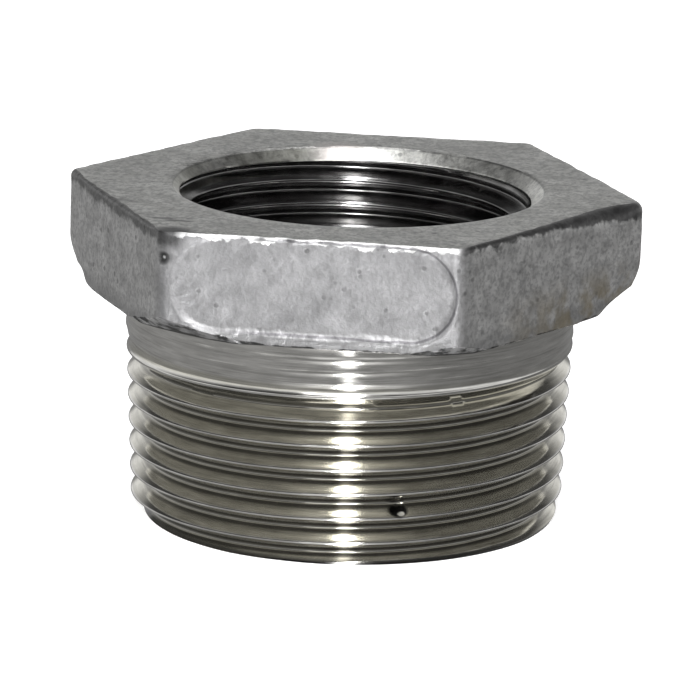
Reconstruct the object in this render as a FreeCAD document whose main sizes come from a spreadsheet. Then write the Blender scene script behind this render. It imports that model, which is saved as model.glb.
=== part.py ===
"""Hexagon reducing bush, R 1 1/4 x Rp 1 (DN 32 x DN 25), stainless steel.

One investment-cast and machined piece: a hexagon head over a male taper thread, bored through
and tapped with the smaller female thread. Frame: millimetres, +Z up along the common axis of
both threads, origin at the centre of the male thread's small end, two flats facing -Y and +Y.
"""
import FreeCAD, Part
import math
import os
import Sketcher

PITCH = 25.4 / 11

# Driving dimensions in millimetres, ratios and degrees. Each is an aliased cell of the sheet.
DIMENSIONS = {
    "across_flats": 47.5,
    "overall_length": 31.0,
    "hex_height": 10.0,
    # Whitworth pipe thread, 11 threads per inch, the same form outside and inside
    "thread_pitch": PITCH,
    "thread_depth": 1.479,
    "thread_flat": PITCH / 6,
    "flank_angle": 27.5,
    # how far a groove's cutter stands out of the wall it cuts
    "overcut": 0.2,
    # male taper thread R 1 1/4: the major diameter is standard at the gauge plane
    "male_major_diameter": 41.91,
    "gauge_length": 12.7,
    "diameter_taper": 1 / 16,
    "male_groove_start": -2.52,
    "male_full_turns": 7.0,
    "runout_turns": 2.0,
    "entry_chamfer": 0.6,
    # female parallel thread Rp 1, over a plain bore a little under its minor diameter
    "female_minor_diameter": 30.291,
    "female_groove_start": 13.04,
    "female_turns": 9.0,
    "plain_bore_diameter": 29.9,
    "plain_bore_length": 11.2,
    "mouth_diameter": 34.6,
    "mouth_depth": 1.1,
    "outlet_chamfer": 0.5,
    # edges of the hexagon head
    "corner_chamfer_angle": 30.0,
    "corner_chamfer_diameter": 46.6,
    "corner_radius": 1.2,
    "edge_radius": 0.7,
    # shallow oval panel on the front flat, where a marking would stand
    "panel_length": 25.6,
    "panel_width": 8.0,
    "panel_height": 26.6,
    "panel_depth": 0.25,
}

# Tolerance for telling which edges lie on a plane or circle, in millimetres.
CLOSE = 1e-3

doc = FreeCAD.newDocument("HexReducingBush")


def make_sheet():
    """The spreadsheet of driving dimensions: a name and an aliased number on each row."""
    sheet = doc.addObject("Spreadsheet::Sheet", "Dimensions")
    for row, (alias, value) in enumerate(DIMENSIONS.items(), start=1):
        sheet.set(f"A{row}", alias)
        sheet.set(f"B{row}", repr(float(value)))
        sheet.setAlias(f"B{row}", alias)
    doc.recompute()


def cell(alias):
    """A cell's name as an expression reads it."""
    return f"Dimensions.{alias}"


def male_crest_radius(height):
    """Expression for the male thread's crest radius at a height over its small end."""
    rise = f"({height} - {cell('gauge_length')})"
    return f"{cell('male_major_diameter')} / 2 + {rise} * {cell('diameter_taper')} / 2"


def new_sketch(body, name, role, offset=None):
    """An empty sketch on one of the body's origin planes, raised by an expression if given."""
    planes = body.Origin.OriginFeatures
    sketch = body.newObject("Sketcher::SketchObject", name)
    sketch.AttachmentSupport = [(next(p for p in planes if p.Role == role), "")]
    sketch.MapMode = "FlatFace"
    if offset:
        sketch.setExpression("AttachmentOffset.Base.z", offset)
    return sketch


def drive(sketch, kind, place, expression, start=1.0):
    """Hold a point's X or Y, or an arc's radius, at what an expression says.

    The sketch holds the start value until the document is recomputed.
    """
    index = sketch.addConstraint(Sketcher.Constraint(kind, *place, start))
    sketch.setExpression(f"Constraints[{index}]", expression)


def outline(sketch, corners):
    """A closed outline of straight lines through corners given as pairs of expressions."""
    count = len(corners)
    for i in range(count):
        # a regular polygon to start from, which the constraints pull into place
        turns = [2 * math.pi * (i + step) / count for step in (0, 1)]
        ends = [FreeCAD.Vector(math.cos(turn), math.sin(turn), 0) for turn in turns]
        sketch.addGeometry(Part.LineSegment(*ends), False)
    for i, (across, along) in enumerate(corners):
        sketch.addConstraint(Sketcher.Constraint("Coincident", i, 2, (i + 1) % count, 1))
        drive(sketch, "DistanceX", (-1, 1, i, 1), across)
        drive(sketch, "DistanceY", (-1, 1, i, 1), along)


def finish(feature, removes):
    """Recompute, and stop if the feature failed or did not change the volume as it should."""
    before = feature.BaseFeature.Shape.Volume if feature.BaseFeature else 0.0
    doc.recompute()
    if not feature.isValid() or feature.Shape.isNull() or not feature.Shape.isValid():
        raise RuntimeError(f"{feature.Name} failed: {feature.State} {feature.getStatusString()}")
    change = feature.Shape.Volume - before
    if change == 0 or (change < 0) != removes:
        raise RuntimeError(f"{feature.Name} changed the volume by {change:.2f} mm3")
    print(f"{feature.Name}: {change:+.1f} mm3, {len(feature.Shape.Faces)} faces")


def revolve(body, name, kind, corners):
    """Revolve an outline in the XZ plane about the axis, adding or cutting."""
    sketch = new_sketch(body, name + "Profile", "XZ_Plane")
    outline(sketch, corners)
    feature = body.newObject(f"PartDesign::{kind}", name)
    feature.Profile = sketch
    feature.ReferenceAxis = (sketch, ["V_Axis"])
    feature.Angle = 360
    finish(feature, removes=kind == "Groove")


def cut_thread(body, name, mouth_radius, outward, start, turns, cone_angle):
    """Cut a right-hand helical groove of the Whitworth form, climbing from a start height.

    The groove opens at mouth_radius, and its root lies further in for a male thread (outward
    is 1) or further out for a female one (outward is -1). All sizes are expressions.
    """
    root_radius = f"{mouth_radius} - {outward} * {cell('thread_depth')}"
    open_radius = f"{mouth_radius} + {outward} * {cell('overcut')}"
    root_half = f"{cell('thread_flat')} / 2"
    flank_run = f"({cell('thread_depth')} + {cell('overcut')}) * tan({cell('flank_angle')})"
    open_half = f"({root_half} + {flank_run})"
    sketch = new_sketch(body, name + "Profile", "YZ_Plane")
    outline(
        sketch,
        [
            (root_radius, f"{start} - {root_half}"),
            (root_radius, f"{start} + {root_half}"),
            (open_radius, f"{start} + {open_half}"),
            (open_radius, f"{start} - {open_half}"),
        ],
    )
    doc.recompute()
    helix = body.newObject("PartDesign::SubtractiveHelix", name)
    helix.Profile = sketch
    helix.ReferenceAxis = (sketch, ["V_Axis"])
    helix.Mode = "pitch-height-angle"
    helix.setExpression("Pitch", cell("thread_pitch"))
    helix.setExpression("Height", f"{cell('thread_pitch')} * {turns}")
    helix.setExpression("Angle", cone_angle)
    finish(helix, removes=True)


def round_edges(body, name, radius, chosen):
    """Fillet the edges of the body so far that a test picks out."""
    base = body.Tip
    edges = [f"Edge{i}" for i, edge in enumerate(base.Shape.Edges, start=1) if chosen(edge)]
    fillet = body.newObject("PartDesign::Fillet", name)
    fillet.Base = (base, edges)
    fillet.setExpression("Radius", radius)
    finish(fillet, removes=True)


def make_male_thread(body):
    """The tapered shank with its helical groove, which runs out below the head."""
    under_head = f"{cell('overall_length')} - {cell('hex_height')}"
    shank = [
        ("0", "0"),
        (male_crest_radius("0"), "0"),
        (male_crest_radius(under_head), under_head),
        ("0", under_head),
    ]
    revolve(body, "Shank", "Revolution", shank)

    start = cell("male_groove_start")
    taper = f"{cell('diameter_taper')} / 2"
    turns = cell("male_full_turns")
    cut_thread(body, "MaleThread", male_crest_radius(start), 1, start, turns, f"atan({taper})")

    # the last turns climb out of the shank on a steeper cone, as a die leaves them
    full_end = f"({start} + {cell('thread_pitch')} * {turns})"
    climb = f"({cell('thread_depth')} + {cell('overcut')} * 2)"
    steep = f"{climb} / ({cell('thread_pitch')} * {cell('runout_turns')}) + {taper}"
    runout_turns = cell("runout_turns")
    mouth = male_crest_radius(full_end)
    cut_thread(body, "ThreadRunout", mouth, 1, full_end, runout_turns, f"atan({steep})")

    edge = male_crest_radius("0")
    chamfer = cell("entry_chamfer")
    waste = [
        (f"{edge} - {chamfer}", "0"),
        (f"{edge} + {chamfer}", "0"),
        (f"{edge} + {chamfer}", f"2 * {chamfer}"),
    ]
    revolve(body, "EntryChamfer", "Groove", waste)


def make_head(body):
    """The hexagon, with rounded edges and its lower corners turned away at 30 degrees."""
    under_head = f"{cell('overall_length')} - {cell('hex_height')}"
    flat = f"{cell('across_flats')} / 2"
    corner = f"{cell('across_flats')} / sqrt(3)"
    sketch = new_sketch(body, "HexagonProfile", "XY_Plane", under_head)
    outline(
        sketch,
        [
            (corner, "0"),
            (f"{corner} / 2", flat),
            (f"-{corner} / 2", flat),
            (f"-{corner}", "0"),
            (f"-{corner} / 2", f"-{flat}"),
            (f"{corner} / 2", f"-{flat}"),
        ],
    )
    pad = body.newObject("PartDesign::Pad", "Hexagon")
    pad.Profile = sketch
    pad.setExpression("Length", cell("hex_height"))
    finish(pad, removes=False)

    corner_radius = DIMENSIONS["across_flats"] / math.sqrt(3)

    def is_corner(edge):
        """True for the six upright edges."""
        ends = [vertex.Point for vertex in edge.Vertexes]
        return len(ends) == 2 and all(
            abs(math.hypot(end.x, end.y) - corner_radius) < CLOSE for end in ends
        ) and abs(ends[0].z - ends[1].z) > DIMENSIONS["hex_height"] / 2

    def is_top_rim(edge):
        """True for the edges around the top face."""
        box = edge.BoundBox
        top = DIMENSIONS["overall_length"]
        return abs(box.ZMin - top) < CLOSE and abs(box.ZMax - top) < CLOSE

    round_edges(body, "CornerRounds", cell("corner_radius"), is_corner)
    round_edges(body, "TopRounds", cell("edge_radius"), is_top_rim)

    inner = f"{cell('corner_chamfer_diameter')} / 2"
    outer = f"{cell('across_flats')} / 2 * 1.25"
    rise = f"({outer} - {inner}) * tan({cell('corner_chamfer_angle')})"
    waste = [(inner, under_head), (outer, under_head), (outer, f"{under_head} + {rise}")]
    revolve(body, "CornerChamfer", "Groove", waste)


def make_bore(body):
    """The through bore: a plain cast lower part, the tapped upper part and its open mouth."""
    top = cell("overall_length")
    plain = f"{cell('plain_bore_diameter')} / 2"
    minor = f"{cell('female_minor_diameter')} / 2"
    mouth = f"{cell('mouth_diameter')} / 2"
    plain_top = cell("plain_bore_length")
    chamfer = cell("outlet_chamfer")
    waste = [
        ("0", "0"),
        (f"{plain} + {chamfer}", "0"),
        (plain, chamfer),
        (plain, plain_top),
        (minor, plain_top),
        (minor, f"{top} - {cell('mouth_depth')}"),
        (mouth, top),
        ("0", top),
    ]
    revolve(body, "Bore", "Groove", waste)
    start = cell("female_groove_start")
    cut_thread(body, "FemaleThread", minor, -1, start, cell("female_turns"), "0")


def make_panel(body):
    """The shallow oval panel on the front flat: a slot with round ends."""
    sketch = new_sketch(body, "PanelProfile", "XZ_Plane", f"{cell('across_flats')} / 2")
    half = (DIMENSIONS["panel_length"] - DIMENSIONS["panel_width"]) / 2
    radius = DIMENSIONS["panel_width"] / 2
    middle = DIMENSIONS["panel_height"]
    for side in (1, -1):
        # the straight edge and then the round end that follows it, going round clockwise
        start = FreeCAD.Vector(-side * half, middle + side * radius, 0)
        end = FreeCAD.Vector(side * half, middle + side * radius, 0)
        sketch.addGeometry(Part.LineSegment(start, end), False)
        centre = FreeCAD.Vector(side * half, middle, 0)
        circle = Part.Circle(centre, FreeCAD.Vector(0, 0, 1), radius)
        first = -math.pi / 2 if side > 0 else math.pi / 2
        sketch.addGeometry(Part.ArcOfCircle(circle, first, first + math.pi), False)
    # geometry 0 and 2 are the straight edges, 1 and 3 the round ends
    for line, arc, next_line in ((0, 1, 2), (2, 3, 0)):
        sketch.addConstraint(Sketcher.Constraint("Tangent", line, 2, arc, 2))
        sketch.addConstraint(Sketcher.Constraint("Tangent", arc, 1, next_line, 1))
    sketch.addConstraint(Sketcher.Constraint("Equal", 1, 3))
    reach = f"({cell('panel_length')} - {cell('panel_width')}) / 2"
    for arc, side in ((1, 1), (3, -1)):
        drive(sketch, "DistanceX", (-1, 1, arc, 3), f"{side} * {reach}", side * half)
        drive(sketch, "DistanceY", (-1, 1, arc, 3), cell("panel_height"), middle)
    drive(sketch, "Radius", (1,), f"{cell('panel_width')} / 2", radius)
    pocket = body.newObject("PartDesign::Pocket", "Panel")
    pocket.Profile = sketch
    pocket.setExpression("Length", cell("panel_depth"))
    finish(pocket, removes=True)


def check_document():
    """Stop if any object of the document failed."""
    for item in doc.Objects:
        if "Invalid" in item.State or "Error" in item.State:
            raise RuntimeError(f"{item.Name} is {item.State}")


def main():
    """Make the sheet and the bush, check them and write the bush as a STEP file."""
    make_sheet()
    bush = doc.addObject("PartDesign::Body", "HexReducingBush")
    bush.Label = "hex_reducing_bush"
    bush.Placement = FreeCAD.Placement()
    make_male_thread(bush)
    make_head(bush)
    make_bore(bush)
    make_panel(bush)
    check_document()

    shape = bush.Shape
    if shape.isNull() or not shape.isValid() or len(shape.Solids) != 1:
        raise RuntimeError("the bush is not one valid solid")
    os.makedirs("parts", exist_ok=True)
    shape.exportStep(f"parts/{bush.Label}.step")
    print(f"{bush.Label}: volume {shape.Volume:.1f} mm3, {len(shape.Faces)} faces")


main()
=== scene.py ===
import math

import bmesh
import bpy
from mathutils import Matrix, Vector, noise


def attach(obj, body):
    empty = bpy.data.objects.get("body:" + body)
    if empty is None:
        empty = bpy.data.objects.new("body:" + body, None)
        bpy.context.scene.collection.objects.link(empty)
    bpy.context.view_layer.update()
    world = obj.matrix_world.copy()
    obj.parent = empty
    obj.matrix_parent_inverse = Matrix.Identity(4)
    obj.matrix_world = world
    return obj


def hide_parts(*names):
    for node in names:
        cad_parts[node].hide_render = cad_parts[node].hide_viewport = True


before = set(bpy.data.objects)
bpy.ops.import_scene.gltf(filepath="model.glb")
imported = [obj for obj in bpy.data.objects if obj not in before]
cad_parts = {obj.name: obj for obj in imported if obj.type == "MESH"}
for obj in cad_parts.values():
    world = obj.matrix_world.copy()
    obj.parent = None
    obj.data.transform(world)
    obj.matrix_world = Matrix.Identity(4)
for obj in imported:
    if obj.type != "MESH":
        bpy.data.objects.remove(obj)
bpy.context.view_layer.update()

# The bush is worked out in millimetres and written in metres. +Z is the axis of both threads,
# the small end of the male thread stands on z = 0 and one flat of the hexagon faces -Y.
MM = 0.001
PITCH = 25.4 / 11
TURN = 2 * math.pi

HEAD_BOTTOM = 21.0
TOP = 31.0
APOTHEM = 23.70
CORNER_ROUND = 1.3
# the turned cone under the head: how high its foot stands off the flat, and how steep it is
FOOT_RISE, CONE_SLOPE = 0.2, math.tan(math.radians(30))
LEAST_CONE = 0.5

# Whitworth form as shares of the pitch
CREST_ARC = 0.1373
ARC_REACH = 0.1218
FLANK_SLOPE = 1 / math.tan(math.radians(27.5))
MALE_CREST_ARC = 0.06
# rows across one pitch of each thread, as phases from its crest
MALE_ROWS = (-0.0532, -0.030, 0.0, 0.030, 0.0532, 0.215, 0.3782, 0.44, 0.5, 0.56, 0.6218, 0.785)
FEMALE_ROWS = (-0.1218, -0.07, 0.0, 0.07, 0.1218, 0.25, 0.3782, 0.44, 0.5, 0.56, 0.6218, 0.75)

MALE_CREST_Z, MALE_CREST_AT = 13.697, math.radians(-81.1)
FEMALE_CREST_Z, FEMALE_CREST_AT = 25.80, math.radians(98.9)
RUNOUT_START, RUNOUT_END = 13.6, 17.6
SMALL_END_CREST, SHANK_SLOPE = 20.25, 0.042
SHANK_UNDER_HEAD = 21.3
END_FACE_MIDDLE = 17.6
ENTRY_CHAMFER = 0.6
NICK_AT, NICK_Z = math.radians(-67.0), 5.2

FEMALE_MINOR = 15.146
PLAIN_BORE = 14.95
PLAIN_TOP = 11.2
MOUTH_Z = 29.9
MOUTH_INNER, MOUTH_OUTER, MOUTH_SHIFT = 16.15, 17.4, 0.5
MOUTH_ROWS = 7
TOP_FACE_INNER = 18.3
OUTLET_CHAMFER = 0.5

ROUND_COLUMNS = 288
SIDE_ROWS = 34
EDGE_ROWS = 5
# columns of the head, in degrees
WIDE_STEP, FINE_STEP = 1.25, 0.42


def smooth(low, high, value):
    """A smooth step from 0 at low to 1 at high, which may be the lower number."""
    t = min(1.0, max(0.0, (value - low) / (high - low)))
    return t * t * (3 - 2 * t)


def grain(x, y, z, size, seed=0.0):
    """Smooth noise from about -1 to 1, with bumps of about that size in millimetres."""
    return noise.noise(Vector((x / size + seed, y / size - 2.7 * seed, z / size + 1.3 * seed))) * 1.6


def form(phase, crest_arc=CREST_ARC):
    """How far below its crest a Whitworth thread is, in pitches, at a phase whose crest is 0.

    A crest rounded to a smaller arc stands as high as the full one.
    """
    t = abs((phase + 0.5) % 1.0 - 0.5)
    reach = crest_arc * ARC_REACH / CREST_ARC
    shoulder = crest_arc - math.sqrt(crest_arc**2 - reach**2)
    if t < reach:
        return crest_arc - math.sqrt(crest_arc**2 - t * t)
    foot = shoulder + (0.5 - ARC_REACH - reach) * FLANK_SLOPE
    sag = CREST_ARC - math.sqrt(CREST_ARC**2 - ARC_REACH**2)
    if t > 0.5 - ARC_REACH:
        return foot + sag - (CREST_ARC - math.sqrt(CREST_ARC**2 - (0.5 - t) ** 2))
    return shoulder + (t - reach) * FLANK_SLOPE


def crest_radius(z):
    """The male thread's crest radius at a height: a taper that dies out below the head."""
    return SMALL_END_CREST + SHANK_SLOPE * z


def male_radius(z, angle):
    phase = (z - MALE_CREST_Z) / PITCH - (angle - MALE_CREST_AT) / TURN
    depth = form(phase, MALE_CREST_ARC) * PITCH
    fade = 1 - smooth(RUNOUT_START, RUNOUT_END, z)
    depth = depth * fade + 0.10 * (1 - fade) * (0.5 - 0.5 * math.cos(TURN * phase * 2))
    r = crest_radius(z) - depth
    x, y = r * math.cos(angle), r * math.sin(angle)
    r -= 0.020 * max(0.0, grain(x, y, z * 6, 2.2, 5.0))
    edge = crest_radius(0) - ENTRY_CHAMFER + 0.05 * grain(x, y, z, 5.0, 9.0)
    r = min(r, edge + z * 0.5)
    # a nick in one crest
    d = math.hypot((angle - NICK_AT) * r, z - NICK_Z)
    return r - 0.5 * math.exp(-((d / 0.45) ** 2))


def female_radius(z, angle):
    phase = (z - FEMALE_CREST_Z) / PITCH - (angle - FEMALE_CREST_AT) / TURN
    lead = smooth(PLAIN_TOP, PLAIN_TOP + 1.5, z)
    r = FEMALE_MINOR + form(phase) * PITCH * lead
    # towards +X, where the mouth is cut wider, the last crest is pared away up to it
    pared = (MOUTH_INNER + MOUTH_SHIFT - FEMALE_MINOR) * smooth(27.6, MOUTH_Z, z)
    r = max(r, FEMALE_MINOR + pared * max(0.0, math.cos(angle)))
    return r + 0.012 * grain(r * math.cos(angle), r * math.sin(angle), z * 5, 2.0, 3.0)


def from_corner(angle):
    """How far an angle is from the nearest corner of the hexagon, up to 30 degrees."""
    return abs((angle + math.pi / 6) % (math.pi / 3) - math.pi / 6)


def hex_radius(angle):
    """Distance from the axis to the head's side, a hexagon with flats facing -Y and +Y."""
    a = from_corner(angle)
    centre = (APOTHEM - CORNER_ROUND) / math.cos(math.pi / 6)
    tangent = math.atan2(
        CORNER_ROUND * math.sin(math.pi / 6), centre + CORNER_ROUND * math.cos(math.pi / 6)
    )
    if a >= tangent:
        return APOTHEM / math.cos(math.pi / 6 - a)
    return centre * math.cos(a) + math.sqrt(CORNER_ROUND**2 - (centre * math.sin(a)) ** 2)


# ------------------------------------------------------------------ the mesh, ring by ring
class Skin:
    """Vertices and faces of the bush, collected ring by ring."""

    def __init__(self):
        self.points = []
        self.painted_shade = []
        self.faces = []
        self.finishes = []

    def ring(self, places, painted_shade=0.0):
        start = len(self.points)
        self.points.extend(places)
        self.painted_shade.extend([painted_shade] * len(places))
        return list(range(start, len(self.points)))

    def face(self, corners, finish):
        self.faces.append(corners)
        self.finishes.append(finish)

    def join(self, low, high, finish):
        """Quads between two rings of the same length, the second following the first."""
        count = len(low)
        for i in range(count):
            k = (i + 1) % count
            self.face((low[i], low[k], high[k], high[i]), finish)

    def zip(self, low, high, low_angles, high_angles, finish):
        """Triangles between two rings with different numbers of points, sorted by angle."""
        i = k = 0
        n, m = len(low), len(high)
        while i < n or k < m:
            next_low = low_angles[(i + 1) % n] + TURN * ((i + 1) // n) if i < n else math.inf
            next_high = high_angles[(k + 1) % m] + TURN * ((k + 1) // m) if k < m else math.inf
            if next_low <= next_high:
                self.face((low[i % n], low[(i + 1) % n], high[k % m]), finish)
                i += 1
            else:
                self.face((low[i % n], high[(k + 1) % m], high[k % m]), finish)
                k += 1


CAST, MALE, BORE, FACE = range(4)
skin = Skin()

round_angles = [-math.pi + TURN * (i + 0.5) / ROUND_COLUMNS for i in range(ROUND_COLUMNS)]


def polar(r, angle, z):
    return (r * math.cos(angle), r * math.sin(angle), z)


def thread_rows(crest_z, crest_at, phases, low, high, radius, finish):
    """A thread's wall between two heights, in rows that climb with the helix.

    Returns its lowest and highest rings. A row that comes round past the last column goes on
    as the row one pitch higher.
    """
    per_pitch = len(phases)
    first = math.floor((low - crest_z) / PITCH) - 2
    last = math.ceil((high - crest_z) / PITCH) + 2
    levels = [(k, p) for k in range(first, last) for p in phases]
    grid = []
    for k, p in levels:
        row = []
        for angle in round_angles:
            z = crest_z + PITCH * (k + p + (angle - crest_at) / TURN)
            z = min(high, max(low, z))
            row.append(polar(radius(z, angle), angle, z))
        grid.append(skin.ring(row))
    for j in range(len(grid) - 1):
        for i in range(ROUND_COLUMNS):
            if i + 1 < ROUND_COLUMNS:
                corners = (grid[j][i], grid[j][i + 1], grid[j + 1][i + 1], grid[j + 1][i])
            else:
                if j + 1 + per_pitch >= len(grid):
                    continue
                corners = (
                    grid[j][i],
                    grid[j + per_pitch][0],
                    grid[j + 1 + per_pitch][0],
                    grid[j + 1][i],
                )
            heights = [skin.points[c][2] for c in corners]
            if max(heights) - min(heights) > 1e-6:
                skin.face(corners, finish)
    return grid[0], grid[-1]


# the two threads, the small end's face and the plain bore
male_low, male_high = thread_rows(
    MALE_CREST_Z, MALE_CREST_AT, MALE_ROWS, 0.0, HEAD_BOTTOM, male_radius, MALE
)
bore_low, bore_high = thread_rows(
    FEMALE_CREST_Z, FEMALE_CREST_AT, FEMALE_ROWS, PLAIN_TOP, MOUTH_Z, female_radius, BORE
)

inner = skin.ring([polar(PLAIN_BORE + OUTLET_CHAMFER, a, 0.0) for a in round_angles])
middle = skin.ring([polar(END_FACE_MIDDLE, a, 0.0) for a in round_angles])
skin.join(middle, male_low, FACE)
skin.join(inner, middle, FACE)
below = inner
for z in (0.25, OUTLET_CHAMFER, 2.5, 5.0, 8.0, PLAIN_TOP):
    r = PLAIN_BORE + max(0.0, OUTLET_CHAMFER - z)
    if z == PLAIN_TOP:
        above = bore_low
    else:
        above = skin.ring([polar(r, a, z) for a in round_angles])
    skin.join(above, below, BORE)
    below = above

# mouth of the bore: a turned cone that the thread's grooves run into
below = bore_high
for step in range(MOUTH_ROWS + 1):
    t = step / MOUTH_ROWS
    z = MOUTH_Z + (TOP - MOUTH_Z) * t
    row = []
    for a in round_angles:
        # the cone stands a little off the thread's axis, towards +X
        cone = MOUTH_INNER + (MOUTH_OUTER - MOUTH_INNER) * t + MOUTH_SHIFT * math.cos(a)
        cone += 0.03 * grain(20 * math.cos(a), 20 * math.sin(a), z * 3, 4.0, 8.0)
        row.append(polar(max(cone, female_radius(z, a)), a, z))
    above = skin.ring(row)
    skin.join(above, below, BORE if step == 0 else FACE)
    below = above
mouth_rim = below

# columns of the head: finer on the front flat, for its panel, and around the corners
hex_angles = []
angle = -math.pi
while angle < math.pi - 1e-6:
    hex_angles.append(angle)
    front = -math.radians(122) < angle < -math.radians(58)
    fine = front or from_corner(angle) < math.radians(4.5)
    angle += math.radians(FINE_STEP if fine else WIDE_STEP)


def edge_round(x, y):
    """The cast top edge's radius: uneven, and growing along the right-hand front flat."""
    worn = 0.85 * smooth(14.0, 26.0, x) * smooth(3.0, -3.0, y)
    return 0.42 + worn + 0.16 * grain(x, y, 0.0, 1.3, 2.0) + 0.12 * grain(x, y, 0.0, 5.0, 4.0)


PANEL_X, PANEL_Z, PANEL_HALF, PANEL_RADIUS, PANEL_DEPTH = 0.3, 26.5, 13.0, 4.35, 0.25
PIT_X, PIT_Z = -13.45, 28.6


def panel(x, z):
    """Distance outside the panel's oval outline on the front flat, negative inside."""
    along = max(0.0, abs(x - PANEL_X) - (PANEL_HALF - PANEL_RADIUS))
    return math.hypot(along, z - PANEL_Z) - PANEL_RADIUS


def corner_share(angle, corner, reach):
    """1 at a corner of the hexagon and falling off around it, over a reach in degrees."""
    away = (angle - math.radians(corner) + math.pi) % TURN - math.pi
    return math.exp(-((away / math.radians(reach)) ** 2))


def lower_corner(angle):
    """Radius at which the turned cone under the head starts: more where it cuts less."""
    wobble = 0.22 * grain(20 * math.cos(angle), 20 * math.sin(angle), 0.0, 6.0, 6.0)
    left, right = corner_share(angle, 180, 26), corner_share(angle, -60, 20)
    return 24.0 + 1.3 * left + 1.7 * right + wobble


def side_place(angle, share):
    """Radius, foot, top and height of the head's side at a share of the way up it."""
    r = hex_radius(angle)
    x, y = r * math.cos(angle), r * math.sin(angle)
    start = lower_corner(angle)
    foot = HEAD_BOTTOM + FOOT_RISE + max(0.0, r - start) * CONE_SLOPE
    high = TOP - edge_round(x, y)
    z = foot + (high - foot) * share
    return r, foot, high, z


def cast_dip(x, y, z):
    """How far the cast skin lies inside the nominal hexagon."""
    dip = 0.08 + 0.06 * grain(x, y, z, 9.0, 1.0) + 0.035 * grain(x, y, z, 2.4, 7.0)
    dip += 0.018 * grain(x, y, z, 0.9, 11.0)
    return max(0.0, dip)


def place_side(angle, z, r):
    """A side radius with the casting's dips, its worn corners, the panel and the pit in it."""
    x, y = r * math.cos(angle), r * math.sin(angle)
    dip = cast_dip(x, y, z)
    # the left and right corners are worn round towards their feet
    dip += 1.3 * corner_share(angle, 0, 10) * smooth(27.0, 21.2, z) ** 2
    dip += corner_share(angle, 180, 10) * (0.25 + 0.9 * smooth(26.0, 21.2, z) ** 2)
    if y < 0 and abs(x) < 14.2:
        uneven = 0.16 * grain(x, 0.0, z, 1.5, 14.0) + 0.10 * grain(x, 0.0, z, 5.0, 15.0)
        away = panel(x, z) + uneven * smooth(27.0, 23.0, z)
        lip = 0.10 * math.exp(-((away - 0.22) / 0.18) ** 2) * smooth(26.0, 23.5, z)
        inside = 1 - smooth(-0.26, 0.04, away)
        inside *= 1 - 0.85 * smooth(-8.0, -12.5, x) * smooth(23.5, 25.5, z)
        dip = dip * (1 - 0.75 * inside) + PANEL_DEPTH * inside - min(dip, lip)
        # a pit in the casting beside the panel, with a bead of metal left in it
        d = math.hypot(x - PIT_X, z - PIT_Z)
        dip += 0.50 * math.exp(-((d / 0.45) ** 2)) - 0.42 * math.exp(-((d / 0.16) ** 2))
    return r - max(0.0, dip)


def foot_of(angle):
    """Where the turned cone starts and where it meets the side: two radii and a height."""
    r, foot, high, z = side_place(angle, 0.0)
    reach = place_side(angle, foot, r)
    return min(lower_corner(angle), reach - LEAST_CONE), reach, foot


rings = []
# the underside, from the shank out and up the turned cone
UNDER_SHARES = (0.0, 0.35, 0.7, 1.0)
for share in UNDER_SHARES:
    row = []
    for a in hex_angles:
        start, reach, foot = foot_of(a)
        row.append(polar(SHANK_UNDER_HEAD + (start - SHANK_UNDER_HEAD) * share, a, HEAD_BOTTOM))
    rings.append(row)
for share in (0.25, 0.5, 0.75, 1.0):
    row = []
    for a in hex_angles:
        start, reach, foot = foot_of(a)
        z = HEAD_BOTTOM + (foot - 0.1 - HEAD_BOTTOM) * share
        row.append(polar(start + (reach - 0.12 - start) * share, a, z))
    rings.append(row)
under_rows = len(rings)
for j in range(SIDE_ROWS + 1):
    row = []
    for a in hex_angles:
        r, foot, high, z = side_place(a, j / SIDE_ROWS)
        row.append(polar(place_side(a, z, r), a, z))
    rings.append(row)
for j in range(1, EDGE_ROWS + 1):
    turn = math.pi / 2 * j / EDGE_ROWS
    row = []
    for a in hex_angles:
        r, foot, high, z = side_place(a, 1.0)
        edge = TOP - high
        rr = r - edge * (1 - math.cos(turn))
        row.append(polar(place_side(a, high, rr), a, high + edge * math.sin(turn)))
    rings.append(row)
outer_top = rings[-1]
for share in (0.2, 0.4, 0.6, 0.8, 1.0):
    row = []
    for i, a in enumerate(hex_angles):
        x, y, z = outer_top[i]
        r = math.hypot(x, y)
        rr = r + (TOP_FACE_INNER - r) * share
        dip = 0.03 * max(0.0, grain(rr * math.cos(a), rr * math.sin(a), 0, 7.0, 12.0))
        row.append(polar(rr, a, TOP - (dip if share < 1 else 0)))
    rings.append(row)


def finish_of(j):
    """The top face is machined, and the rest of the head is as cast."""
    return FACE if j >= under_rows + SIDE_ROWS + EDGE_ROWS else CAST


def painted_shade_of(j):
    """Painted shade: 1 on the flat under the head, and broken along the foot of its sides."""
    if j < len(UNDER_SHARES):
        return 1.0
    return 0.5 if j <= under_rows else 0.0


rows = [skin.ring(row, painted_shade_of(j)) for j, row in enumerate(rings)]

for j in range(len(rows) - 1):
    skin.join(rows[j], rows[j + 1], finish_of(j))
rim_angles = [math.atan2(skin.points[v][1], skin.points[v][0]) for v in mouth_rim]
skin.zip(rows[-1], mouth_rim, hex_angles, rim_angles, FACE)
skin.zip(male_high, rows[0], round_angles, hex_angles, CAST)

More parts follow.
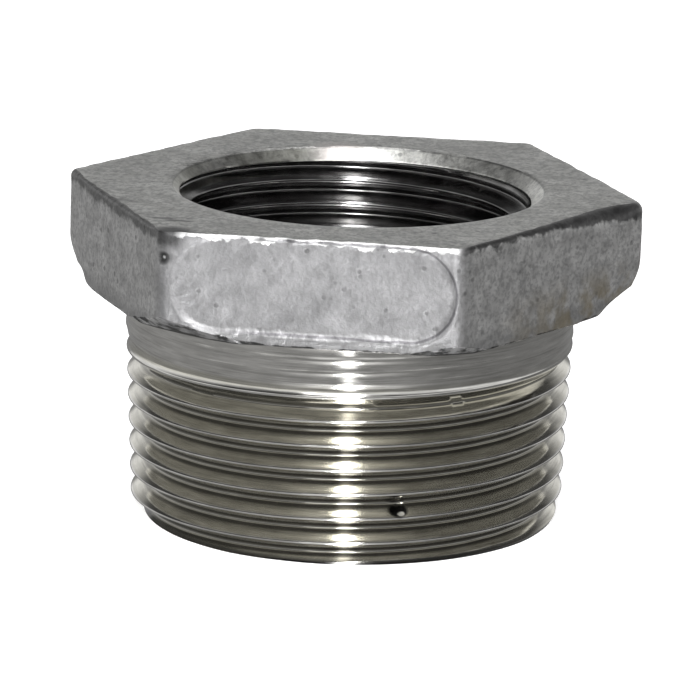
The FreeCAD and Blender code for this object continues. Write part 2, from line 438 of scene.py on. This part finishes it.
MERGE_WITHIN, SHORTEST_EDGE, CREASE = 0.004, 0.002, math.radians(42)
mesh = bpy.data.meshes.new("hex_reducing_bush_skin")
mesh.from_pydata([Vector(p) * MM for p in skin.points], [], skin.faces)
mesh.polygons.foreach_set("material_index", skin.finishes)
# the painted shade under the head, kept on the vertices for the cast skin's colour
mesh.attributes.new("painted_shade", "FLOAT", "POINT").data.foreach_set("value", skin.painted_shade)
bm = bmesh.new()
bm.from_mesh(mesh)
bmesh.ops.remove_doubles(bm, verts=bm.verts, dist=MERGE_WITHIN * MM)
bmesh.ops.dissolve_degenerate(bm, edges=bm.edges, dist=SHORTEST_EDGE * MM)
bmesh.ops.delete(bm, geom=[v for v in bm.verts if not v.link_faces], context="VERTS")
bmesh.ops.recalc_face_normals(bm, faces=bm.faces)
open_edges = sum(1 for e in bm.edges if len(e.link_faces) != 2)
triangles = sum(len(f.verts) - 2 for f in bm.faces)
print("open or doubled edges:", open_edges, "triangles:", triangles)
bm.to_mesh(mesh)
bm.free()
mesh.shade_smooth()
mesh.set_sharp_from_angle(angle=CREASE)
bush = bpy.data.objects.new("hex_reducing_bush_visual", mesh)
bpy.context.scene.collection.objects.link(bush)


# ------------------------------------------------------------------ materials
def set_range(node, low, high, to_low, to_high):
    node.inputs["From Min"].default_value = low
    node.inputs["From Max"].default_value = high
    node.inputs["To Min"].default_value = to_low
    node.inputs["To Max"].default_value = to_high


class Nodes:
    """A bare metal material, with helpers that add nodes to it and link them."""

    def __init__(self, name):
        self.material = bpy.data.materials.new(name)
        self.material.use_nodes = True
        self.tree = self.material.node_tree
        self.tree.nodes.clear()
        output = self.add("ShaderNodeOutputMaterial")
        self.shader = self.add("ShaderNodeBsdfPrincipled")
        self.shader.inputs["Metallic"].default_value = 1.0
        self.link(self.shader.outputs[0], output.inputs["Surface"])
        self.place = self.add("ShaderNodeTexCoord").outputs["Object"]
        split = self.add("ShaderNodeSeparateXYZ")
        self.link(self.place, split.inputs[0])
        self.x, self.y, self.z = split.outputs

    def add(self, kind, **values):
        node = self.tree.nodes.new(kind)
        for name, value in values.items():
            setattr(node, name, value)
        return node

    def link(self, out, into):
        self.tree.links.new(out, into)

    def feed(self, socket, value):
        if hasattr(value, "is_output"):
            self.link(value, socket)
        else:
            socket.default_value = value

    def math(self, operation, a, b=0.0):
        node = self.add("ShaderNodeMath", operation=operation)
        self.feed(node.inputs[0], a)
        self.feed(node.inputs[1], b)
        return node.outputs[0]

    def product(self, first, *others):
        for other in others:
            first = self.math("MULTIPLY", first, other)
        return first

    def length(self, a, b):
        """The length of a vector with these two components."""
        squares = self.math("ADD", self.product(a, a), self.product(b, b))
        return self.math("POWER", squares, 0.5)

    def off(self, value, centre):
        """How far a value is from a centre."""
        return self.math("ABSOLUTE", self.math("SUBTRACT", value, centre))

    def waver(self, reach, size=1.4, detail=3.0, rough=0.6, seed=0.77):
        """Noise that goes up and down by about half that reach, in metres."""
        bumps = self.noise(size, detail, rough, seed=seed)
        return self.product(self.math("SUBTRACT", bumps, 0.5), reach)

    def noise(self, size, detail=3.0, rough=0.55, stretch=(1, 1, 1), seed=0.0):
        """Noise from 0 to 1 with features of about that size in millimetres."""
        mapping = self.add("ShaderNodeMapping")
        self.link(self.place, mapping.inputs["Vector"])
        mapping.inputs["Scale"].default_value = stretch
        mapping.inputs["Location"].default_value = (seed, seed * 0.7, seed * 1.9)
        node = self.add("ShaderNodeTexNoise")
        self.link(mapping.outputs[0], node.inputs["Vector"])
        node.inputs["Scale"].default_value = 1 / (size * MM)
        node.inputs["Detail"].default_value = detail
        node.inputs["Roughness"].default_value = rough
        return node.outputs["Fac"]

    def spread(self, value, low, high, to_low=0.0, to_high=1.0):
        """A value from low to high made to run between two others, and held there beyond."""
        node = self.add("ShaderNodeMapRange")
        node.clamp = True
        self.feed(node.inputs["Value"], value)
        set_range(node, low, high, to_low, to_high)
        return node.outputs[0]

    def mix(self, share, a, b):
        node = self.add("ShaderNodeMix", data_type="RGBA")
        self.feed(node.inputs[0], share)
        self.feed(node.inputs[6], a)
        self.feed(node.inputs[7], b)
        return node.outputs[2]

    def spot(self, centre, outer, inner):
        """1 within the inner radius of a point, in millimetres, fading to 0 at the outer."""
        node = self.add("ShaderNodeVectorMath", operation="DISTANCE")
        self.link(self.place, node.inputs[0])
        node.inputs[1].default_value = Vector(centre) * MM
        return self.spread(node.outputs["Value"], outer * MM, inner * MM)

    def bump(self, height, strength, distance, normal=None):
        node = self.add("ShaderNodeBump")
        node.inputs["Strength"].default_value = strength
        node.inputs["Distance"].default_value = distance * MM
        self.link(height, node.inputs["Height"])
        if normal is not None:
            self.link(normal, node.inputs["Normal"])
        return node.outputs[0]


def rgb(value, tint=(1.0, 1.0, 1.0)):
    return tuple(value * t for t in tint) + (1.0,)


def speckle(n, body, dark, seed, share):
    """Fine dark grain and scattered pits over a base colour. The share may vary over it."""
    fine = n.noise(0.42, 2.5, 0.65, seed=seed)
    middling = n.noise(1.1, 3.0, 0.6, seed=seed + 0.31)
    body = n.mix(n.product(n.spread(fine, 0.46, 0.60), share), body, rgb(dark))
    patches = n.product(n.spread(middling, 0.50, 0.40), n.product(share, 0.6))
    body = n.mix(patches, body, rgb(dark * 1.1))
    cells = n.add("ShaderNodeTexVoronoi")
    n.link(n.place, cells.inputs["Vector"])
    cells.inputs["Scale"].default_value = 1 / (1.5 * MM)
    pits = n.spread(cells.outputs["Distance"], 0.20, 0.12)
    pits = n.product(pits, n.spread(n.noise(3.0, 1.0, seed=seed + 0.5), 0.46, 0.54))
    return n.mix(n.product(pits, 0.6), body, rgb(dark * 0.7)), fine, pits


def cast_skin():
    n = Nodes("cast_stainless_skin")
    blotch = n.noise(3.4, 4.0, 0.6, seed=0.1)
    patchy = n.spread(blotch, 0.35, 0.68)
    # painted shade on the front and back flats, painted light on the side flats
    front = n.mix(patchy, rgb(0.42, (0.985, 0.98, 1.0)), rgb(0.56, (0.985, 0.98, 1.0)))
    sides = n.mix(patchy, rgb(0.62, (1.0, 0.995, 0.985)), rgb(0.74, (1.0, 0.995, 0.985)))
    # the four side flats have a coarser skin than the front and back ones; the front and back flats
    # are painted darker and the side flats lighter, as painted shade and light on the one skin
    side = n.spread(n.math("ABSOLUTE", n.x), 0.0133, 0.0145)
    body = n.mix(side, front, sides)
    grain_share = n.math("ADD", n.product(side, 0.24), 0.26)
    body, fine, pits = speckle(n, body, 0.30, 0.4, grain_share)
    # darker along the foot of the sides
    over_foot = n.math("SUBTRACT", n.z, 0.0218)
    body = n.mix(n.spread(over_foot, 0.0012, 0.0, 0.0, 0.5), body, rgb(0.30))
    # brownish handling stain low on the right-hand flat
    stain = n.product(n.spread(n.x, 0.016, 0.022), n.spread(n.z, 0.0262, 0.0232))
    stain = n.product(stain, n.spread(n.noise(2.5, 3.0, seed=0.9), 0.40, 0.58))
    body = n.mix(n.product(stain, 0.8), body, rgb(0.36, (1.0, 0.86, 0.60)))
    # a dark reflection painted on the side top edges, and a blotch at the front left corner
    uneven = n.waver(0.0020)
    height = n.math("ADD", n.z, uneven)
    right_edge = n.math("SUBTRACT", height, n.spread(n.x, 0.0190, 0.0270, 0.0305, 0.0296))
    right_edge = n.product(n.spread(right_edge, -0.0001, 0.0002), n.spread(n.x, 0.0132, 0.0142))
    right_edge = n.product(right_edge, n.spread(n.y, 0.001, -0.001))
    left_edge = n.product(n.spread(height, 0.0299, 0.0303), n.spread(n.x, -0.0132, -0.0142), 0.8)
    corner = n.spot((-12.9, -23.4, 30.9), 1.8, 0.9)
    edge_shade_and_blotch = n.math("MAXIMUM", n.math("MAXIMUM", right_edge, left_edge), corner)
    body = n.mix(n.product(edge_shade_and_blotch, 0.86), body, rgb(0.08))
    # the front flat's top edge is painted white, as a highlight
    painted_edge_highlight = n.product(n.spread(height, 0.03055, 0.03062), n.spread(n.x, 0.0136, 0.0130))
    painted_edge_highlight = n.product(painted_edge_highlight, n.spread(n.x, -0.0125, -0.0112), n.spread(n.y, -0.0200, -0.0210))
    body = n.mix(painted_edge_highlight, body, rgb(1.0))
    # the pit beside the panel with its bead, and painted shade in the corner between head and shank
    # the pit's hollow is painted dark, as shade
    body = n.mix(n.product(n.spot((PIT_X, -23.5, PIT_Z), 0.75, 0.45), 0.9), body, rgb(0.05))
    body = n.mix(n.spot((PIT_X + 0.05, -23.45, PIT_Z), 0.34, 0.22), body, rgb(0.95))
    painted_shade = n.add("ShaderNodeAttribute", attribute_name="painted_shade").outputs["Fac"]
    painted_shade = n.math("ADD", painted_shade, n.product(uneven, 700.0))
    body = n.mix(n.spread(painted_shade, 0.40, 0.62, 0.0, 0.94), body, rgb(0.03))
    # the outline of the panel: a dark line painted along its wall as shade, that fades towards the
    # left
    along = n.math("SUBTRACT", n.off(n.x, PANEL_X * MM), (PANEL_HALF - PANEL_RADIUS) * MM)
    along = n.math("MAXIMUM", along, 0.0)
    away = n.length(along, n.math("SUBTRACT", n.z, PANEL_Z * MM))
    away = n.math("ADD", away, n.product(uneven, 0.12))
    panel_wall_shade = n.spread(n.off(away, (PANEL_RADIUS - 0.06) * MM), 0.00016, 0.00007)
    panel_wall_shade = n.product(panel_wall_shade, n.spread(n.y, -0.0230, -0.0233))
    panel_wall_shade = n.product(panel_wall_shade, n.spread(n.x, -0.010, -0.002, 0.15, 0.85))
    body = n.mix(panel_wall_shade, body, rgb(0.22, (0.97, 0.95, 1.0)))
    n.feed(n.shader.inputs["Base Color"], body)
    polish = n.spread(n.noise(1.6, 3.0, seed=0.6), 0.3, 0.7, 0.40, 0.56)
    n.feed(n.shader.inputs["Roughness"], polish)
    coarse = n.bump(n.noise(1.3, 3.0, 0.6, seed=0.2), 0.45, 0.16)
    grainy = n.bump(fine, 0.6, 0.07, coarse)
    pitted = n.bump(n.math("SUBTRACT", 1.0, pits), 0.3, 0.06, grainy)
    n.link(pitted, n.shader.inputs["Normal"])
    return n.material


ALONG_TURNING = (0.35, 0.35, 2.6)
TOOL_MARKS = (0.06, 0.06, 3.0)


def turned_thread():
    n = Nodes("turned_male_thread")
    streak = n.noise(1.2, 3.0, 0.6, ALONG_TURNING, 0.3)
    # the crests are painted lighter, as thin highlight lines
    painted_crest_light = n.mix(
        n.spread(streak, 0.35, 0.7), rgb(0.70, (1.0, 0.985, 0.94)), rgb(0.92, (1.0, 0.985, 0.945))
    )
    # below the crests the flanks are painted darker, as painted shade and dark reflection, and
    # darkest in the roots, as painted shade
    crest = n.math("ADD", n.product(n.z, SHANK_SLOPE), SMALL_END_CREST * MM)
    below = n.math("SUBTRACT", crest, n.length(n.x, n.y))
    painted_flank_shade = n.mix(
        n.spread(streak, 0.3, 0.7), rgb(0.62, (1.0, 0.97, 0.86)), rgb(0.80, (1.0, 0.975, 0.88))
    )
    body = n.mix(n.spread(below, 0.12 * MM, 0.26 * MM), painted_crest_light, painted_flank_shade)
    # the roots are painted near black, as shade
    root = n.spread(below, 1.12 * MM, 1.32 * MM, 0.0, 0.65)
    body = n.mix(root, body, rgb(0.12, (1.0, 0.97, 0.88)))
    # the bottom edge, where the bush stands on the floor, is painted dark as shade
    bottom_edge_shade = n.spread(n.z, 0.45 * MM, 0.15 * MM, 0.0, 0.85)
    body = n.mix(bottom_edge_shade, body, rgb(0.06, (0.95, 0.98, 1.1)))
    lines = n.noise(0.5, 2.0, 0.6, TOOL_MARKS, 0.5)
    body = n.mix(n.spread(lines, 0.50, 0.70, 0.0, 0.35), body, rgb(0.25, (1.0, 0.98, 0.90)))
    # painted shade in the corner under the head
    painted_shade = n.spread(n.math("ADD", n.z, n.waver(0.0008)), 0.02070, 0.02092)
    body = n.mix(n.product(painted_shade, 0.92), body, rgb(0.04))
    # the nick, painted dark as shade in its hollow, with a bead of metal beside it
    body = n.mix(n.spot((7.70, -18.10, NICK_Z), 1.05, 0.75), body, rgb(0.03))
    body = n.mix(n.spot((7.99, -18.24, 4.82), 0.40, 0.26), body, rgb(0.95))
    n.feed(n.shader.inputs["Base Color"], body)
    polish = n.spread(n.noise(2.0, 3.0, stretch=(1, 1, 3), seed=0.7), 0.3, 0.7, 0.10, 0.16)
    n.feed(n.shader.inputs["Roughness"], polish)
    n.link(n.bump(lines, 0.22, 0.025), n.shader.inputs["Normal"])
    return n.material


def tapped_bore():
    n = Nodes("tapped_bore")
    streak = n.noise(1.0, 3.0, 0.6, ALONG_TURNING, 0.8)
    # the bore's metal is painted much darker than the male thread's, as shade inside the bore
    body = n.mix(
        n.spread(streak, 0.35, 0.7), rgb(0.17, (1.0, 0.99, 0.98)), rgb(0.29, (1.0, 0.99, 0.98))
    )
    # the narrow flat step where the thread meets the mouth is painted dark, as shade under the rim
    ledge_shade = n.spread(n.off(n.z, MOUTH_Z * MM), 0.00006, 0.00003, 0.0, 0.9)
    body = n.mix(ledge_shade, body, rgb(0.02))
    n.feed(n.shader.inputs["Base Color"], body)
    polish = n.spread(n.noise(1.6, 2.0, seed=0.2), 0.3, 0.7, 0.14, 0.24)
    n.feed(n.shader.inputs["Roughness"], polish)
    lines = n.noise(0.5, 2.0, 0.6, TOOL_MARKS, 0.6)
    n.link(n.bump(lines, 0.22, 0.03), n.shader.inputs["Normal"])
    return n.material


def machined_face():
    n = Nodes("machined_faces")
    blotch = n.noise(2.6, 4.0, 0.6, seed=0.35)
    body = n.mix(
        n.spread(blotch, 0.35, 0.68), rgb(0.72, (1.0, 1.0, 0.95)), rgb(0.99, (1.0, 1.0, 0.965))
    )
    grain_share = n.spread(n.z, 0.03085, 0.03097, 0.34, 0.60)
    body, fine, pits = speckle(n, body, 0.26, 0.15, grain_share)
    # dark scale towards the front left and right edges, and at the front left corner
    patch = n.spread(n.noise(2.0, 4.0, 0.65, seed=0.95), 0.50, 0.62)
    edge = n.math(
        "MAXIMUM", n.spot((-20.5, -12.0, TOP), 7.0, 2.0), n.spot((13.5, -22.3, TOP), 4.0, 1.0)
    )
    body = n.mix(n.product(edge, patch, 0.6), body, rgb(0.16))
    body = n.mix(n.product(n.spot((-12.6, -23.0, TOP), 2.3, 1.1), 0.94), body, rgb(0.05))
    # two scratches
    for y, x0, x1 in ((-18.05, -15.6, -13.3), (-18.75, -14.2, -11.5)):
        bent = n.math("ADD", n.y, n.waver(0.0004, 2.5, 1.0, 0.55, 0.2))
        scratch = n.spread(n.off(bent, y * MM), 0.00040, 0.00022)
        scratch = n.product(scratch, n.spread(n.x, x0 * MM, (x0 + 0.4) * MM))
        scratch = n.product(scratch, n.spread(n.x, x1 * MM, (x1 - 0.4) * MM))
        body = n.mix(n.product(scratch, 0.8), body, rgb(0.08))
    # stains in the mouth, and a dark line round its rim
    stain = n.math(
        "MAXIMUM", n.spot((-10.5, 13.0, 30.6), 7.5, 3.0), n.spot((-16.8, 1.0, 30.5), 8.0, 3.5)
    )
    stain = n.product(stain, n.spread(n.z, 0.03098, 0.03090))
    body = n.mix(n.product(stain, 0.6), body, rgb(0.20, (1.0, 1.0, 0.82)))
    rosy = n.spot((-4.2, 16.6, 30.5), 3.2, 1.2)
    body = n.mix(n.product(rosy, 0.7), body, rgb(0.85, (1.0, 0.93, 0.90)))
    rim = n.spread(n.off(n.z, 0.03095), 0.00012, 0.00004)
    body = n.mix(n.product(rim, 0.5), body, rgb(0.15))
    n.feed(n.shader.inputs["Base Color"], body)
    polish = n.spread(n.noise(1.2, 3.0, seed=0.65), 0.3, 0.7, 0.34, 0.48)
    n.feed(n.shader.inputs["Roughness"], polish)
    n.link(n.bump(fine, 0.45, 0.06), n.shader.inputs["Normal"])
    return n.material


for material in (cast_skin(), turned_thread(), tapped_bore(), machined_face()):
    mesh.materials.append(material)

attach(bush, "root")
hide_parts("hex_reducing_bush")

# ------------------------------------------------------------------ studio
scene = bpy.context.scene
scene.view_settings.view_transform = "Standard"
scene.view_settings.look = "None"


def plain(name, color, glow):
    """A matt material of one grey that also glows by itself."""
    material = bpy.data.materials.new(name)
    material.use_nodes = True
    shader = material.node_tree.nodes["Principled BSDF"]
    shader.inputs["Base Color"].default_value = rgb(color)
    shader.inputs["Roughness"].default_value = 0.9
    shader.inputs["Specular IOR Level"].default_value = 0.0
    shader.inputs["Emission Color"].default_value = (1, 1, 1, 1)
    shader.inputs["Emission Strength"].default_value = glow
    return material


# The floor can't be seen in the metal and casts no shadow: the world below stands in for it.
floor_mesh = bpy.data.meshes.new("studio_floor")
half = 6.0
floor_mesh.from_pydata(
    [(-half, -half, 0), (half, -half, 0), (half, half, 0), (-half, half, 0)], [], [(0, 1, 2, 3)]
)
floor_mesh.materials.append(plain("pale_floor", 0.85, 0.75))
floor = bpy.data.objects.new("studio_floor", floor_mesh)
floor.location = (0, 0, -0.00005)
floor.visible_glossy = False
floor.visible_shadow = False
scene.collection.objects.link(floor)

world = bpy.data.worlds.new("studio")
scene.world = world
world.use_nodes = True
tree = world.node_tree
tree.nodes.clear()
out = tree.nodes.new("ShaderNodeOutputWorld")
back_node = tree.nodes.new("ShaderNodeBackground")
coord = tree.nodes.new("ShaderNodeTexCoord")
split = tree.nodes.new("ShaderNodeSeparateXYZ")
tree.links.new(coord.outputs["Generated"], split.inputs[0])
look_x, look_y, look_z = split.outputs


def step(value, low, high, to_low, to_high):
    node = tree.nodes.new("ShaderNodeMapRange")
    node.interpolation_type = "SMOOTHSTEP"
    set_range(node, low, high, to_low, to_high)
    tree.links.new(value, node.inputs["Value"])
    return node.outputs[0]


def combine(operation, *values):
    """The values put together one after another by a math operation."""
    total = values[0]
    for value in values[1:]:
        node = tree.nodes.new("ShaderNodeMath")
        node.operation = operation
        for socket, part in zip(node.inputs, (total, value)):
            if hasattr(part, "is_output"):
                tree.links.new(part, socket)
            else:
                socket.default_value = part
        total = node.outputs[0]
    return total


# bright just above the horizon, dark overhead and dim below
STREAK = 44.0
sky = step(look_z, 0.13, 0.47, 1.04, 0.07)
ground = combine("ADD", step(look_y, -0.25, -0.90, 0.27, 0.33), combine("MULTIPLY", look_x, -0.07))
# the strip lights as a shiny table in front would give them back, with a halo round them
AZIMUTH = 0.1548
sideways = combine(
    "ADD",
    combine("MULTIPLY", look_x, math.cos(AZIMUTH)),
    combine("MULTIPLY", look_y, math.sin(AZIMUTH)),
)
across = combine("ABSOLUTE", sideways, 0.0)
in_front = step(look_y, 0.0, -0.1, 0.0, 1.0)
lit = combine("ADD", step(look_z, -0.10, -0.22, 0.0, 2.6), step(look_z, -0.55, -0.70, 0.0, STREAK))
table = combine("MULTIPLY", step(across, 0.052, 0.036, 0.0, 1.0), in_front, lit)
halo = combine(
    "MULTIPLY", step(across, 0.60, 0.10, 0.0, 1.0), step(look_z, -0.45, -0.65, 0.0, 0.5), in_front
)
ground = combine("ADD", ground, table, halo)
above_horizon = step(look_z, -0.02, 0.10, 0.0, 1.0)
below_horizon = combine("SUBTRACT", 1.0, above_horizon)
glow = combine(
    "ADD", combine("MULTIPLY", sky, above_horizon), combine("MULTIPLY", ground, below_horizon)
)
tree.links.new(glow, back_node.inputs["Strength"])
tree.links.new(back_node.outputs[0], out.inputs["Surface"])

# The camera: a long lens, a little to the right of the front flat's middle and above it
ELEVATION, ROLL = 0.2484, 0.0248
DISTANCE, FOCAL_SHARE = 485.3, 5168 / 700
SENSOR = 36.0
flat = math.cos(ELEVATION)
back = Vector((math.sin(AZIMUTH) * flat, -math.cos(AZIMUTH) * flat, math.sin(ELEVATION)))
right = Vector((math.cos(AZIMUTH), math.sin(AZIMUTH), 0))
up = back.cross(right)
target = right * 0.0862 + Vector((0, 0, 15.176))
cam_x = math.cos(ROLL) * right + math.sin(ROLL) * up
cam_y = -math.sin(ROLL) * right + math.cos(ROLL) * up
camera_data = bpy.data.cameras.new("camera")
camera_data.sensor_width = SENSOR
camera_data.lens = SENSOR * FOCAL_SHARE
camera_data.clip_start = 0.01
camera = bpy.data.objects.new("camera", camera_data)
turn = Matrix((cam_x, cam_y, back)).transposed().to_4x4()
camera.matrix_world = Matrix.Translation((target + back * DISTANCE) * MM) @ turn
scene.collection.objects.link(camera)
scene.camera = camera


LIGHTS_AIM = Vector((0, 0, 0.015))


def softbox(name, azimuth, elevation, distance, size, power):
    """A rectangular area light, its size as (width, height) in metres, facing the bush.

    It stands at an azimuth from the camera's and an elevation, both in degrees.
    """
    light = bpy.data.lights.new(name, "AREA")
    light.shape = "RECTANGLE"
    light.size, light.size_y = size
    light.energy = power
    lamp = bpy.data.objects.new(name, light)
    a, e = math.radians(azimuth) + AZIMUTH, math.radians(elevation)
    away = Vector((math.sin(a) * math.cos(e), -math.cos(a) * math.cos(e), math.sin(e)))
    lamp.location = LIGHTS_AIM + away * distance
    lamp.rotation_euler = away.to_track_quat("Z", "Y").to_euler()
    scene.collection.objects.link(lamp)


# narrow strips along the camera's own upright plane, from low in front to behind overhead
STRIPS = ((25, 0.14, 3.2), (50, 0.12, 2.6), (75, 0.08, 1.2), (100, 0.07, 1.1), (118, 0.06, 1.0))
for i, (elevation, width, power) in enumerate(STRIPS):
    softbox(f"strip_{i}", 0, elevation, 0.9, (width, 0.40), power)
softbox("front_fill", -12, 20, 1.3, (0.5, 0.3), 1.0)
